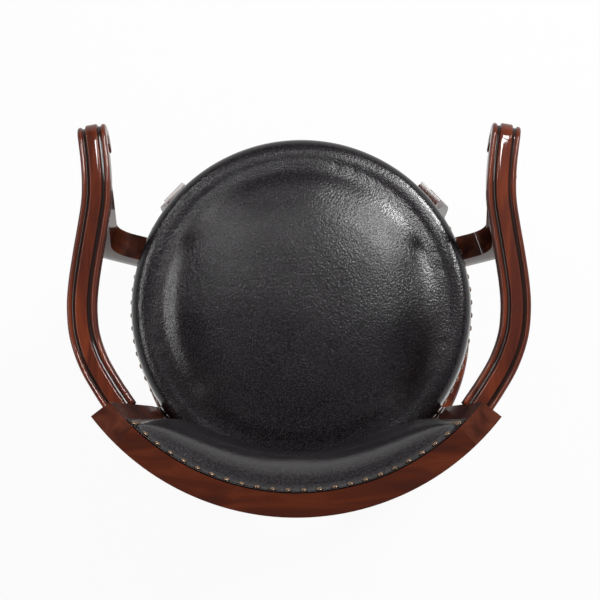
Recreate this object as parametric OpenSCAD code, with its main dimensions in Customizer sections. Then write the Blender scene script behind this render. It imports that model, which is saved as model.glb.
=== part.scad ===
// Swivel bar stool with arms: a four-legged wooden base with a round footrest, a ball-bearing
// swivel, and a round upholstered seat that carries two arms and a curved padded back.
// Millimetres. The floor is z = 0, the swivel turns about the Z axis, and the stool faces -Y.
// The sitter's left hand is on the +X side.

/* [Base] */
// Height of the leg tops above the floor
base_h = 620; // [600:1:640]
// Width of a leg, seen from outside
leg_w = 37; // [33:1:40]
// Depth of a leg at its top, along the diagonal
leg_d = 45; // [40:1:50]
// Turn of a leg away from straight ahead or straight back
leg_turn = 46.3; // [45:0.1:47]
// Distance from the swivel axis to the outside of a foot
foot_r = 323; // [314:1:330]
// Depth of the foot where it stands
foot_d = 43; // [39:1:46]
// How far a leg's bend reaches out towards the line above its foot
leg_bow = 12; // [6:1:16]
// Distance from the swivel axis to the outside of an apron
apron_r = 160; // [157:1:163]
// Thickness of an apron
apron_t = 22; // [18:1:24]
// Height of an apron
apron_h = 70; // [64:1:80]
// Thickness of the board under the swivel
base_board_t = 18; // [15:1:20]
// Short sides of a corner block
block_side = 60; // [54:1:64]
// Height of a corner block
block_h = 60; // [54:1:62]
// Radius of a leg bolt
leg_bolt_r = 4; // [3:0.5:5]
// Height of a glide under a foot
glide_h = 5; // [4:0.5:7]
// Radius of a glide
glide_r = 11; // [9:0.5:13]

/* [Footrest] */
// Height of the footrest's top above the floor
rest_top = 280; // [265:1:295]
// Height of the footrest ring
rest_h = 28; // [24:1:32]
// Width of the footrest ring
rest_w = 28; // [24:1:30]
// How deep the ring is let into the inside of the legs
rest_let_in = 5; // [4:0.5:7]
// Radius of the ring's rounded upper edges
rest_round = 7; // [4:0.5:9]
// Radius of its eased lower edges
rest_ease = 2; // [1:0.5:2.5]
// How far the screws that hold the ring go into a leg
rest_screw_in = 20; // [14:1:24]

/* [Swivel] */
// Height of the whole swivel
swivel_h = 22; // [21:0.5:26]
// Side of a swivel plate
plate_w = 180; // [172:1:190]
// Thickness of a swivel plate
plate_t = 3; // [2.5:0.5:4]
// Radius of the ring that the balls run on
ball_ring_r = 70; // [64:1:76]
// Radius of a ball
ball_r = 4; // [3.5:0.25:4.5]
// Number of balls
ball_n = 16; // [12:1:20]
// Width of a ball track
track_w = 16; // [14:1:18]
// Thickness of the cage
cage_t = 2; // [1.5:0.5:2.5]
// Radius of the pivot pin
pin_r = 8; // [7:0.5:9]
// Running clearance between the pin and the upper plate
pin_gap = 0.05; // [0.02:0.01:0.09]
// Distance of a plate screw from both middle lines
plate_screw = 75; // [70:1:78]

/* [Seat] */
// Outer radius of the round seat frame
frame_out = 224; // [222:1:225]
// Inner radius of the round seat frame
frame_in = 172; // [166:1:178]
// Height of the round seat frame
frame_h = 58; // [52:1:64]
// Height of a cross rail under the seat
rail_h = 34; // [28:1:40]
// Width of a cross rail
rail_w = 50; // [44:1:56]
// Distance from the middle to a cross rail's middle
rail_x = 70; // [68:1:74]
// Thickness of the seat board
seat_board_t = 12; // [10:1:14]
// Height of the cushion's crown above the seat board
crown_h = 50; // [44:1:56]
// How far the leather seat stands out over its round frame
seat_swell = 2.3; // [1.5:0.1:3.5]
// Thickness of the leather with its lining
leather_t = 1.6; // [1.2:0.1:2]
// Number of nails round the seat
seat_nail_n = 82; // [70:1:88]
// Radius of a nail head
nail_r = 4; // [3.5:0.25:5]
// Height of a nail head
nail_h = 2.4; // [1.8:0.1:2.8]

/* [Arms] */
// Height of the arms' top above the seat's crown
arm_rise = 198; // [185:1:210]
// Thickness of an arm
arm_h = 28; // [26:1:32]
// Width of an arm
arm_w = 33; // [30:0.5:36]
// Width of the raised band along an arm
band_w = 14; // [11:0.5:15]
// Width of a groove beside the band
groove_w = 3.6; // [3:0.1:4.2]
// Depth of a groove
groove_d = 3.4; // [2:0.1:4]
// Radius of the scroll at an arm's front
scroll_r = 20; // [18:0.5:22]
// Thickness of an arm support, side to side
support_t = 32; // [28:1:34]
// Turn of a support's bracket, forward of the stool's side
support_turn = 14; // [11:0.5:17]
// Reach of a bracket from the seat frame to the inside of its upright
support_reach = 41.5; // [38:0.5:46]
// Distance that a bracket lies forward of the line through the swivel axis
bracket_ahead = 25; // [20:1:30]
// Radius of a bolt through the seat frame
side_bolt_r = 4; // [3:0.5:4.5]

/* [Back] */
// Height of the crest rail's top above the seat's crown
back_rise = 356; // [338:1:372]
// How far the curve of the back is larger than the seat frame
back_gap = 15; // [14:0.5:16.5]
// Thickness of the posts and rails of the back
back_t = 24; // [22:1:26]
// Distance from the swivel axis to the centre of the back's curve
back_shift = 17; // [15:0.5:19]
// Half of the angle that the back spans
back_half = 52; // [51:0.5:53]
// Angle that a post takes of the back's curve
post_turn = 8.3; // [7:0.1:9]
// Height of the crest rail
crest_h = 58; // [50:1:64]
// Height of the lower back rail's underside above the seat's crown
low_rail_rise = 16; // [12:1:22]
// Height of the lower back rail
low_rail_h = 47; // [42:1:52]
// Thickness of the curved panel
panel_t = 6; // [4:1:8]
// Thickness of the leather-faced board behind
outer_t = 4; // [3:0.5:5]
// Greatest thickness of the back pad
pad_t = 36.5; // [30:0.5:38]
// Half of the angle that the pad spans
pad_half = 46.4; // [45.4:0.1:47]
// Number of nails in a long row of the back
back_nail_n = 24; // [20:1:26]
// Number of nails down a side of the back
side_nail_n = 17; // [14:1:18]

/* [Hidden] */
$fn = 96;

// Fits and small clearances
snug = 0.1;
hole_gap = 0.15;
soft_gap = 0.3;

// Wood screws
screw_r = 2.5;
screw_len = 15;
screw_head_r = 5;
screw_head_h = 2.4;

// Colours
mahogany = [0.40, 0.13, 0.05];
dark_wood = [0.22, 0.10, 0.07];
plain_wood = [0.72, 0.58, 0.40];
leather = [0.12, 0.11, 0.12];
steel = [0.62, 0.62, 0.64];
bronze = [0.55, 0.44, 0.33];
foam = [0.90, 0.86, 0.74];
nylon = [0.10, 0.10, 0.10];

// Heights, from the floor up
board_z = base_h - base_board_t;
apron_z = board_z - apron_h;
block_z = board_z - 2 - block_h;
swivel_z = base_h;
seat_z = base_h + swivel_h;
seat_board_z = seat_z + frame_h;
seat_top_z = seat_board_z + seat_board_t;
crown_z = seat_top_z + crown_h;
arm_top = crown_z + arm_rise;
back_top = crown_z + back_rise;
low_rail_z = crown_z + low_rail_rise;

// Radii that follow the seat frame
seat_r = frame_out + seat_swell;
support_r = frame_out + support_reach;
back_in = frame_out + back_gap;

// A point at parameter t of a cubic curve through p[0] and p[3]
function bezier(p, t) = pow(1 - t, 3) * p[0] + 3 * pow(1 - t, 2) * t * p[1]
    + 3 * (1 - t) * pow(t, 2) * p[2] + pow(t, 3) * p[3];
function curve(p, steps) = [for (i = [0 : steps]) bezier(p, i / steps)];
function reversed(p) = [for (i = [len(p) - 1 : -1 : 0]) p[i]];
function arc(centre, r, from, to, steps) = [for (i = [0 : steps])
    let (a = from + (to - from) * i / steps) centre + r * [cos(a), sin(a)]];

// Base

// Directions of the four legs, in the order of their nodes
leg_az = 90 - leg_turn;
LEG_TURNS = [-leg_az, leg_az, 180 - leg_az, leg_az - 180];
leg_dir = [cos(leg_az), sin(leg_az)];
// The corners of the square of aprons are cut off in flats as wide as a leg
leg_seat_r = apron_r * (leg_dir[0] + leg_dir[1]) - leg_w / 2;
// A leg's outline in the upright plane through its diagonal: [distance from the axis, height].
// It is upright beside the aprons, sweeps outwards below them and comes down steeply.
leg_top_out = leg_seat_r + leg_d;
leg_outer = [[leg_top_out, apron_z], [leg_top_out + 2, apron_z - 30],
    [foot_r + leg_bow, base_h * 0.645], [foot_r, glide_h + 9]];
leg_inner = [[leg_seat_r, apron_z], [leg_seat_r, apron_z - 40],
    [foot_r - foot_d + leg_bow * 0.67, base_h * 0.62], [foot_r - foot_d, glide_h]];
leg_outline = concat([[leg_top_out, base_h]], curve(leg_outer, 20), [[foot_r, glide_h]],
    reversed(curve(leg_inner, 20)), [[leg_seat_r, base_h]]);
leg_bolt_z = [block_z + block_h * 0.28, block_z + block_h * 0.74];
leg_bolt_depth = 28;
// The square of the base, and where the flats for the legs cut its corners off
inside = apron_r - apron_t;
cut_x = (leg_seat_r - leg_dir[1] * apron_r) / leg_dir[0];
cut_y = (leg_seat_r - leg_dir[0] * apron_r) / leg_dir[1];
mitre = leg_seat_r / (leg_dir[0] + leg_dir[1]);
block_face_r = inside * (leg_dir[0] + leg_dir[1]) - block_side / sqrt(2);
block_x = (block_face_r - inside * leg_dir[1]) / leg_dir[0];
block_y = (block_face_r - inside * leg_dir[0]) / leg_dir[1];
washer_t = 2;
nut_h = 7;
glide_place = foot_r - foot_d / 2;
// The footrest ring stands inside the legs, in a notch of each
rest_mid_z = rest_top - rest_h / 2;
rest_out = rest_let_in + lookup(rest_mid_z,
    [for (p = reversed(curve(leg_inner, 20))) [p[1], p[0]]]);
rest_in = rest_out - rest_w;
rest_head_r = rest_in + screw_head_h * 2;

module each_leg() {
    for (a = LEG_TURNS) rotate([0, 0, a]) children();
}

// Along +X at a given height, from one radius to another
module radial_rod(r, from, to, z) {
    translate([from, 0, z]) rotate([0, 90, 0]) cylinder(r = r, h = to - from);
}

module leg_bolt_holes() {
    for (z = leg_bolt_z) radial_rod(leg_bolt_r + hole_gap, block_face_r - 20,
        leg_seat_r + leg_bolt_depth + 1, z);
}

module footrest_screw_hole() {
    radial_rod(screw_r + hole_gap, rest_in - 2, rest_out + rest_screw_in + 1, rest_mid_z);
}

module leg(k) {
    color(mahogany) rotate([0, 0, LEG_TURNS[k]]) difference() {
        rotate([90, 0, 0]) linear_extrude(leg_w, center = true) polygon(leg_outline);
        leg_bolt_holes();
        // notch that the footrest ring is let into
        translate([0, 0, rest_top - rest_h])
            cylinder(r = rest_out + soft_gap, h = rest_h + soft_gap);
        footrest_screw_hole();
        translate([glide_place, 0, glide_h - 1]) cylinder(r = 1.8 + hole_gap, h = 16, $fn = 24);
    }
}

module apron(k) {
    across = k % 2 == 0;
    cut = across ? cut_x : cut_y;
    color(mahogany) rotate([0, 0, -90 + 90 * k]) difference() {
        translate([0, 0, apron_z]) linear_extrude(apron_h) polygon([
            [apron_r, -cut], [apron_r, cut], [mitre, mitre],
            [inside, inside], [inside, -inside], [mitre, -mitre]]);
        for (s = [-1, 1]) rotate([0, 0, s * (across ? leg_turn : leg_az)]) leg_bolt_holes();
    }
}

module corner_block(k) {
    color(plain_wood) difference() {
        mirror([k > 1 ? 1 : 0, 0, 0]) mirror([0, k == 0 || k == 3 ? 1 : 0, 0])
            translate([0, 0, block_z]) linear_extrude(block_h) polygon([
                [inside, inside], [block_x, inside], [inside, block_y]]);
        rotate([0, 0, LEG_TURNS[k]]) leg_bolt_holes();
    }
}

module base_board() {
    color(plain_wood) difference() {
        translate([0, 0, board_z]) linear_extrude(base_board_t) polygon([
            [apron_r, -cut_y], [apron_r, cut_y], [cut_x, apron_r], [-cut_x, apron_r],
            [-apron_r, cut_y], [-apron_r, -cut_y], [-cut_x, -apron_r], [cut_x, -apron_r]]);
        translate([0, 0, board_z - 1]) cylinder(r = pin_r + 14, h = base_board_t + 2);
        plate_screw_places() translate([0, 0, base_h - screw_len - 1])
            cylinder(r = screw_r + hole_gap, h = screw_len + 2, $fn = 24);
    }
}

module leg_bolts() {
    color(steel) each_leg() for (z = leg_bolt_z)
        radial_rod(leg_bolt_r, block_face_r - washer_t - nut_h - 3,
            leg_seat_r + leg_bolt_depth, z);
}

module leg_washers() {
    color(steel) each_leg() for (z = leg_bolt_z) difference() {
        radial_rod(leg_bolt_r + 5, block_face_r - washer_t, block_face_r, z);
        radial_rod(leg_bolt_r + hole_gap, block_face_r - washer_t - 1, block_face_r + 1, z);
    }
}

module leg_nuts() {
    color(steel) each_leg() for (z = leg_bolt_z) difference() {
        translate([block_face_r - washer_t - nut_h, 0, z]) rotate([0, 90, 0])
            cylinder(r = leg_bolt_r + 3.5, h = nut_h, $fn = 6);
        radial_rod(leg_bolt_r + hole_gap, block_face_r - washer_t - nut_h - 1,
            block_face_r, z);
    }
}

module glides() {
    color(nylon) each_leg() translate([glide_place, 0, 0]) {
        cylinder(r = glide_r, h = glide_h);
        cylinder(r = 1.8, h = glide_h + 14, $fn = 24);
    }
}

module footrest_section() {
    r = rest_round;
    e = rest_ease;
    lo = rest_top - rest_h;
    polygon(concat(
        arc([rest_out - r, rest_top - r], r, 0, 90, 4), arc([rest_in + r, rest_top - r], r, 90, 180, 4),
        arc([rest_in + e, lo + e], e, 180, 270, 3), arc([rest_out - e, lo + e], e, 270, 360, 3)));
}

module footrest() {
    color(mahogany) difference() {
        rotate_extrude() footrest_section();
        each_leg() {
            footrest_screw_hole();
            radial_rod(screw_head_r + 0.3, rest_in - 2, rest_head_r, rest_mid_z);
        }
    }
}

module footrest_screws() {
    color(steel) each_leg() {
        radial_rod(screw_r, rest_head_r - 0.5, rest_out + rest_screw_in, rest_mid_z);
        radial_rod(screw_head_r, rest_head_r - screw_head_h, rest_head_r, rest_mid_z);
    }
}

// Swivel

track_h = (swivel_h - 2 * plate_t - 5) / 2;
ball_z = swivel_z + swivel_h / 2;
pin_head_h = 8;
pin_washer_z = seat_z + 0.3;
pin_washer_t = 2;
pin_nut_h = 8;

module plate_screw_places() {
    for (x = [-plate_screw, plate_screw]) for (y = [-plate_screw, plate_screw])
        translate([x, y, 0]) children();
}

// A plate with its raised ball track, lying on z = 0 with the track upwards
module swivel_plate(bore) {
    difference() {
        union() {
            translate([-plate_w / 2, -plate_w / 2, 0]) cube([plate_w, plate_w, plate_t]);
            difference() {
                cylinder(r = ball_ring_r + track_w / 2, h = plate_t + track_h);
                translate([0, 0, -1])
                    cylinder(r = ball_ring_r - track_w / 2, h = plate_t + track_h + 2);
            }
        }
        translate([0, 0, -1]) cylinder(r = bore, h = plate_t + 2);
        translate([0, 0, swivel_h / 2]) rotate_extrude()
            translate([ball_ring_r, 0]) circle(r = ball_r + hole_gap, $fn = 48);
        plate_screw_places() translate([0, 0, -1])
            cylinder(r = screw_r + 0.3, h = plate_t + 2, $fn = 24);
    }
}

module screw() {
    cylinder(r = screw_head_r, h = screw_head_h, $fn = 24);
    translate([0, 0, -screw_len]) cylinder(r = screw_r, h = screw_len + 0.5, $fn = 24);
}

module swivel_lower_plate() {
    color(steel) translate([0, 0, swivel_z]) swivel_plate(pin_r + hole_gap);
}

module lower_plate_screws() {
    color(steel) plate_screw_places() translate([0, 0, swivel_z + plate_t]) screw();
}

module pivot_pin() {
    color(steel) {
        translate([0, 0, swivel_z - pin_head_h]) cylinder(r = pin_r + 6, h = pin_head_h);
        translate([0, 0, swivel_z - 1])
            cylinder(r = pin_r, h = swivel_h + pin_washer_t + pin_nut_h + 3);
    }
}

module pivot_washer() {
    color(steel) translate([0, 0, pin_washer_z]) difference() {
        cylinder(r = pin_r + 8, h = pin_washer_t);
        translate([0, 0, -1]) cylinder(r = pin_r + hole_gap, h = pin_washer_t + 2);
    }
}

module pivot_nut() {
    color(steel) translate([0, 0, pin_washer_z + pin_washer_t]) difference() {
        cylinder(r = pin_r + 6, h = pin_nut_h, $fn = 6);
        translate([0, 0, -1]) cylinder(r = pin_r + hole_gap, h = pin_nut_h + 2);
    }
}

module ball_places() {
    for (i = [0 : ball_n - 1]) rotate([0, 0, i * 360 / ball_n])
        translate([ball_ring_r, 0, ball_z]) children();
}

module ball_cage() {
    color(bronze) difference() {
        translate([0, 0, ball_z - cage_t / 2])
            cylinder(r = ball_ring_r + track_w / 2 + 1, h = cage_t);
        translate([0, 0, ball_z - cage_t])
            cylinder(r = ball_ring_r - track_w / 2 - 1, h = 2 * cage_t);
        ball_places() cylinder(r = ball_r + hole_gap, h = 2 * cage_t, center = true, $fn = 32);
    }
}

module swivel_balls() {
    color(steel) ball_places() sphere(r = ball_r, $fn = 24);
}

module swivel_upper_plate() {
    color(steel) translate([0, 0, seat_z]) mirror([0, 0, 1]) swivel_plate(pin_r + pin_gap);
}

module upper_plate_screws() {
    color(steel) plate_screw_places() translate([0, 0, seat_z - plate_t]) mirror([0, 0, 1]) screw();
}

// Seat

skirt_gap = 0.8;
skirt_z = seat_board_z - 1;
skirt_in = frame_out + skirt_gap;
skirt_out = skirt_in + leather_t;
nail_z = skirt_z + nail_r + 1;

// Outside of the leather, from the crown to the hem: [radius, height]
seat_outside = concat(
    curve([[0, crown_z], [seat_r * 0.36, crown_z], [seat_r * 0.62, crown_z - 4],
        [seat_r * 0.76, crown_z - crown_h * 0.23]], 6),
    curve([[seat_r * 0.79, crown_z - crown_h * 0.28], [seat_r * 0.84, crown_z - crown_h * 0.36],
        [seat_r * 0.885, crown_z - crown_h * 0.33], [seat_r * 0.93, crown_z - crown_h * 0.38]], 3),
    curve([[seat_r * 0.948, crown_z - crown_h * 0.39], [seat_r * 0.983, crown_z - crown_h * 0.39],
        [seat_r * 0.992, crown_z - crown_h * 0.6], [seat_r, crown_z - crown_h * 0.96]], 5),
    [[skirt_out, nail_z + nail_r], [skirt_out, skirt_z]]);
// Inside of the leather: the same line, one thickness in
seat_inside = concat(
    [for (p = [for (i = [0 : len(seat_outside) - 3]) seat_outside[i]])
        [max(0, p[0] - leather_t), p[1] - leather_t]],
    [[skirt_in, nail_z + nail_r], [skirt_in, skirt_z]]);

module seat_frame() {
    color(dark_wood) difference() {
        translate([0, 0, seat_z]) rotate_extrude() polygon([
            [frame_in, 0], [frame_out - 5, 0], [frame_out, 5], [frame_out, frame_h],
            [frame_in, frame_h]]);
        side_bolts(side_bolt_r + hole_gap);
        seat_board_screw_places() translate([0, 0, seat_board_z - screw_len - 1])
            cylinder(r = screw_r + hole_gap, h = screw_len + 2, $fn = 24);
    }
}

module cross_rail(side) {
    color(plain_wood) difference() {
        intersection() {
            translate([side * rail_x - rail_w / 2, -frame_in, seat_z])
                cube([rail_w, 2 * frame_in, rail_h]);
            translate([0, 0, seat_z - 1]) cylinder(r = frame_in - snug, h = rail_h + 2);
        }
        plate_screw_places() translate([0, 0, seat_z - 1])
            cylinder(r = screw_r + hole_gap, h = screw_len, $fn = 24);
    }
}

seat_board_screw_n = 6;
module seat_board_screw_places() {
    for (i = [0 : seat_board_screw_n - 1]) rotate([0, 0, 360 * (i + 0.5) / seat_board_screw_n])
        translate([(frame_in + frame_out) / 2, 0, 0]) children();
}

module seat_board() {
    color(plain_wood) difference() {
        translate([0, 0, seat_board_z]) cylinder(r = frame_out, h = seat_board_t);
        seat_board_screw_places() {
            translate([0, 0, seat_board_z - 1])
                cylinder(r = screw_r + hole_gap, h = seat_board_t + 2, $fn = 24);
            translate([0, 0, seat_top_z - screw_head_h - 0.3])
                cylinder(r = screw_head_r + 0.3, h = 5, $fn = 24);
        }
    }
}

module seat_board_screws() {
    color(steel) seat_board_screw_places()
        translate([0, 0, seat_top_z - screw_head_h - 0.3]) screw();
}

module seat_foam() {
    inside = [for (p = seat_inside) if (p[1] > seat_top_z + 1) p - [soft_gap, soft_gap]];
    color(foam) rotate_extrude() polygon(concat(
        [[0, seat_top_z], [0, inside[0][1]]],
        [for (p = inside) if (p[0] > 1) p],
        [[min(skirt_in, seat_r - leather_t) - soft_gap, seat_top_z]]));
}

module seat_leather() {
    color(leather) rotate_extrude() polygon(concat(
        seat_outside, reversed([for (i = [0 : len(seat_inside) - 1])
            if (i == 0 || seat_inside[i][0] > 0) seat_inside[i]])));
}

module nail_head() {
    rotate([0, 90, 0]) cylinder(r = nail_r, h = nail_h, $fn = 8);
}

module seat_nails() {
    color(bronze) for (i = [0 : seat_nail_n - 1]) rotate([0, 0, 360 * (i + 0.5) / seat_nail_n])
        translate([skirt_out + snug, 0, nail_z]) nail_head();
}

// Arm supports, in a frame turned so that +X leaves the seat along the bracket

support_foot_z = seat_z + 3;
support_shelf_z = skirt_z - 0.5;
support_lean = 9.5;
support_thinning = 8;
bracket_outer_bend = 28;
bracket_inner_bend = 22;
support_top_z = arm_top - arm_h;
support_bolt_z = [support_foot_z + 15, support_foot_z + 38];
support_bolt_out = 27;
post_bolt_out = 15;

// Seen along the stool: the bracket below, and the upright that thins and leans inwards
function support_front() = let (out = support_r + support_t)
    concat([[frame_in, support_foot_z]],
        arc([out - bracket_outer_bend, support_foot_z + bracket_outer_bend], bracket_outer_bend,
            -90, 0, 6),
        [[out - support_lean - support_thinning, support_top_z],
            [support_r - support_lean, support_top_z]],
        arc([support_r - bracket_inner_bend, support_shelf_z + bracket_inner_bend],
            bracket_inner_bend, 0, -90, 6),
        [[frame_in, support_shelf_z]]);
// Seen from the side: an upright that sweeps forward as it rises, [distance back, height]
support_rear_edge = [[18 - bracket_ahead, support_foot_z], [25 - bracket_ahead, support_foot_z + 60],
    [-27 - bracket_ahead, support_foot_z + 145], [-45 - bracket_ahead, support_top_z]];
support_front_edge = [[-16 - bracket_ahead, support_foot_z], [-9 - bracket_ahead, support_foot_z + 67],
    [-53 - bracket_ahead, support_foot_z + 145], [-70 - bracket_ahead, support_top_z]];

module turned(side) {
    mirror([side < 0 ? 1 : 0, 0, 0]) rotate([0, 0, -support_turn]) children();
}

module side_bolts(r) {
    for (s = [-1, 1]) turned(s) translate([0, -bracket_ahead, 0])
        for (z = support_bolt_z) radial_rod(r, frame_in - 9, frame_out + support_bolt_out + 1, z);
    for (s = [-1, 1]) mirror([s < 0 ? 1 : 0, 0, 0]) rotate([0, 0, post_bolt_turn])
        for (z = support_bolt_z) radial_rod(r, frame_in - 9, frame_out + post_bolt_out + 1, z);
}

module arm_support(side) {
    color(mahogany) difference() {
        turned(side) intersection() {
            translate([0, support_r / 2, 0]) rotate([90, 0, 0])
                linear_extrude(support_r) polygon(support_front());
            rotate([90, 0, 90]) linear_extrude(support_r * 1.5) polygon(concat(
                curve(support_rear_edge, 14), reversed(curve(support_front_edge, 14))));
        }
        translate([0, 0, seat_z - 1]) cylinder(r = frame_out + snug, h = frame_h + 20);
        side_bolts(side_bolt_r + hole_gap);
        arm_screw_places(side) translate([0, 0, -arm_screw_down - 2])
            cylinder(r = screw_r + hole_gap, h = arm_screw_down + arm_screw_up, $fn = 24);
    }
}

module bolt_with_head(r, from, to, z) {
    radial_rod(r, from, to, z);
    translate([from - 5, 0, z]) rotate([0, 90, 0]) cylinder(r = r + 3, h = 5, $fn = 6);
}

// The heads of the support bolts bear on the inside of the round frame, off its middle line
support_head_u = sqrt(pow(frame_in, 2) - pow(bracket_ahead + side_bolt_r + 3, 2)) - snug;
module support_bolts() {
    color(steel) for (s = [-1, 1]) turned(s) translate([0, -bracket_ahead, 0])
        for (z = support_bolt_z) bolt_with_head(side_bolt_r, support_head_u,
            frame_out + support_bolt_out, z);
}

// Arms. The line of an arm's middle in plan, from the post to the scroll, for the +X arm.
// It is drawn for a given reach of the supports, and scales with it.
arm_plan_r = 265.5;
arm_plan = [[217, 112], [234, 83], [245, 52], [248.5, 22], [247.5, -6],
    [243, -41], [238, -73], [234.3, -101], [233.8, -124], [235.5, -149], [239, -176]];
arm_start_r = back_in + back_t / 2 + 1.5;
arm_line = concat(
    [[arm_start_r * sin(back_half), arm_start_r * cos(back_half) - back_shift]],
    [for (p = arm_plan) p * support_r / arm_plan_r]);
arm_steps = 2;
arm_screw_down = 20;
arm_screw_up = 14;
scroll_steps = 9;
scroll_end = -140;
scroll_core = 1.5;
front_turn = 10;

// Half of an arm's section from the middle of the top to the middle of the underside:
// [distance from the middle, height below the top]
bead_w = (arm_w - band_w) / 2 - groove_w;
arm_half = concat(
    [[band_w / 2 - 1, -0.5], [band_w / 2, -1.4], [band_w / 2 + 0.6, -groove_d],
        [band_w / 2 + groove_w - 0.6, -groove_d]],
    arc([band_w / 2 + groove_w + bead_w / 2, -1.2 - bead_w / 2], bead_w / 2, 160, 0, 4),
    [[arm_w / 2, -arm_h + 9], [arm_w / 2 - 1.2, -arm_h + 4.2], [arm_w / 2 - 3.6, -arm_h + 1.3],
        [arm_w / 2 - 6.5, -arm_h]]);
arm_section = concat([[0, 0]], arm_half, [[0, -arm_h]],
    [for (p = reversed(arm_half)) [-p[0], p[1]]]);

// A point on a smooth line through the points of a list
function on_line(p, i, t) = let (n = len(p),
        a = i > 0 ? p[i - 1] : 2 * p[0] - p[1], b = p[i], c = p[i + 1],
        d = i < n - 2 ? p[i + 2] : 2 * p[n - 1] - p[n - 2])
    0.5 * (2 * b + (c - a) * t + (2 * a - 5 * b + 4 * c - d) * t * t
        + (3 * b - a - 3 * c + d) * t * t * t);
arm_mid = concat(
    [for (i = [0 : len(arm_line) - 2]) for (k = [0 : arm_steps - 1])
        on_line(arm_line, i, k / arm_steps)],
    [arm_line[len(arm_line) - 1]]);
function plan_turn(i) = let (n = len(arm_mid), a = arm_mid[max(0, i - 1)],
        b = arm_mid[min(n - 1, i + 1)])
    i == 0 ? 90 - back_half : i == n - 1 ? front_turn : atan2(b[0] - a[0], a[1] - b[1]);

// A ring of the arm: its middle, the turn of the arm in plan, and for the scroll the tilt of
// the section about the scroll's axis, which is 90 degrees along the straight part
function arm_ring(c, turn, tilt) = [for (p = arm_section)
    let (side = [cos(turn), sin(turn)], ahead = [sin(turn), -cos(turn)],
        deep = tilt == 90 || p[1] > -groove_d - 3 ? p[1]
            : -groove_d - 3 + (p[1] + groove_d + 3) * (scroll_r - scroll_core - groove_d - 3)
                / (arm_h - groove_d - 3),
        reach = scroll_r + deep)
    [c[0] + side[0] * p[0] + ahead[0] * reach * cos(tilt),
        c[1] + side[1] * p[0] + ahead[1] * reach * cos(tilt),
        arm_top - scroll_r + reach * sin(tilt)]];

module swept(rings) {
    n = len(rings[0]);
    m = len(rings);
    points = [for (r = rings) for (p = r) p];
    sides = [for (i = [0 : m - 2]) for (j = [0 : n - 1]) let (a = i * n + j, b = i * n + (j + 1) % n)
        for (f = [[a, b, b + n], [a, b + n, a + n]]) f];
    polyhedron(points, concat(sides, [[for (j = [n - 1 : -1 : 0]) j]],
        [[for (j = [0 : n - 1]) (m - 1) * n + j]]));
}

module arm_body() {
    m = len(arm_mid);
    scroll = [for (k = [1 : scroll_steps]) 90 + (scroll_end - 90) * k / scroll_steps];
    swept(concat(
        [for (i = [0 : m - 2]) arm_ring(arm_mid[i], plan_turn(i), 90)],
        [for (a = scroll) arm_ring(arm_mid[m - 1], front_turn, a)]));
}

module arm(side) {
    color(mahogany) difference() {
        mirror([side < 0 ? 1 : 0, 0, 0]) arm_body();
        arm_screw_places(side) translate([0, 0, -1])
            cylinder(r = screw_r + hole_gap, h = arm_screw_up + 2, $fn = 24);
        arm_dowel(side, arm_dowel_r + hole_gap, arm_dowel_len + 1);
    }
}

// The middle of the joint between a support and the arm, on the arm's underside
module arm_screw_places(side) {
    turned(side) translate([support_r + (support_t - support_thinning) / 2 - support_lean,
        (support_front_edge[3][0] + support_rear_edge[3][0]) / 2, support_top_z]) children();
}

module arm_screws() {
    color(steel) for (s = [-1, 1]) arm_screw_places(s) translate([0, 0, -arm_screw_down])
        cylinder(r = screw_r, h = arm_screw_down + arm_screw_up, $fn = 24);
}

arm_dowel_r = 4;
arm_dowel_len = 16;
module arm_dowel(side, r, half) {
    mirror([side < 0 ? 1 : 0, 0, 0]) translate([0, -back_shift, arm_top - arm_h / 2])
        rotate([0, 0, 90 - back_half]) translate([back_in + back_t / 2, 0, 0])
            rotate([90, 0, 0]) cylinder(r = r, h = 2 * half, center = true, $fn = 32);
}

module arm_dowels() {
    color(plain_wood) for (s = [-1, 1]) arm_dowel(s, arm_dowel_r, arm_dowel_len);
}

// Back. Angles along the back are counted from +Y, about the centre of its curve.
back_out = back_in + back_t;
post_in = back_half - post_turn;
post_z = seat_z + 3;
post_bolt_turn = atan2((back_in + back_t / 2) * cos(back_half - post_turn / 2) - back_shift,
    (back_in + back_t / 2) * sin(back_half - post_turn / 2));
post_clear_z = crown_z + 8;
crest_z = back_top - crest_h;
panel_z = low_rail_z + low_rail_h;

function round_back(r, from, to, steps) = [for (i = [0 : steps])
    let (a = from + (to - from) * i / steps) [r * sin(a), r * cos(a) - back_shift]];

// A curved wall: its radii, its angles and its heights
module wall(r0, r1, from, to, z0, z1) {
    translate([0, -back_shift, z0]) rotate([0, 0, 90 - to]) rotate_extrude(angle = to - from)
        translate([r0, 0]) square([r1 - r0, z1 - z0]);
}

module post(side) {
    color(dark_wood) difference() {
        mirror([side < 0 ? 1 : 0, 0, 0]) wall(back_in, back_out, post_in, back_half - snug / 4,
            post_z, back_top);
        translate([0, 0, post_z - 1]) cylinder(r = frame_out + snug, h = 100);
        translate([0, 0, skirt_z - 1]) cylinder(r = skirt_out + nail_h + 1,
            h = post_clear_z - skirt_z + 1);
        side_bolts(side_bolt_r + hole_gap);
        arm_dowel(side, arm_dowel_r + hole_gap, arm_dowel_len + 1);
        back_dowel_places() cylinder(r = back_dowel_r + hole_gap, h = 2 * back_dowel_len + 2,
            center = true, $fn = 32);
    }
}

module post_bolts() {
    color(steel) for (s = [-1, 1]) mirror([s < 0 ? 1 : 0, 0, 0]) rotate([0, 0, post_bolt_turn])
        for (z = support_bolt_z) bolt_with_head(side_bolt_r, frame_in - 1,
            frame_out + post_bolt_out, z);
}

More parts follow.
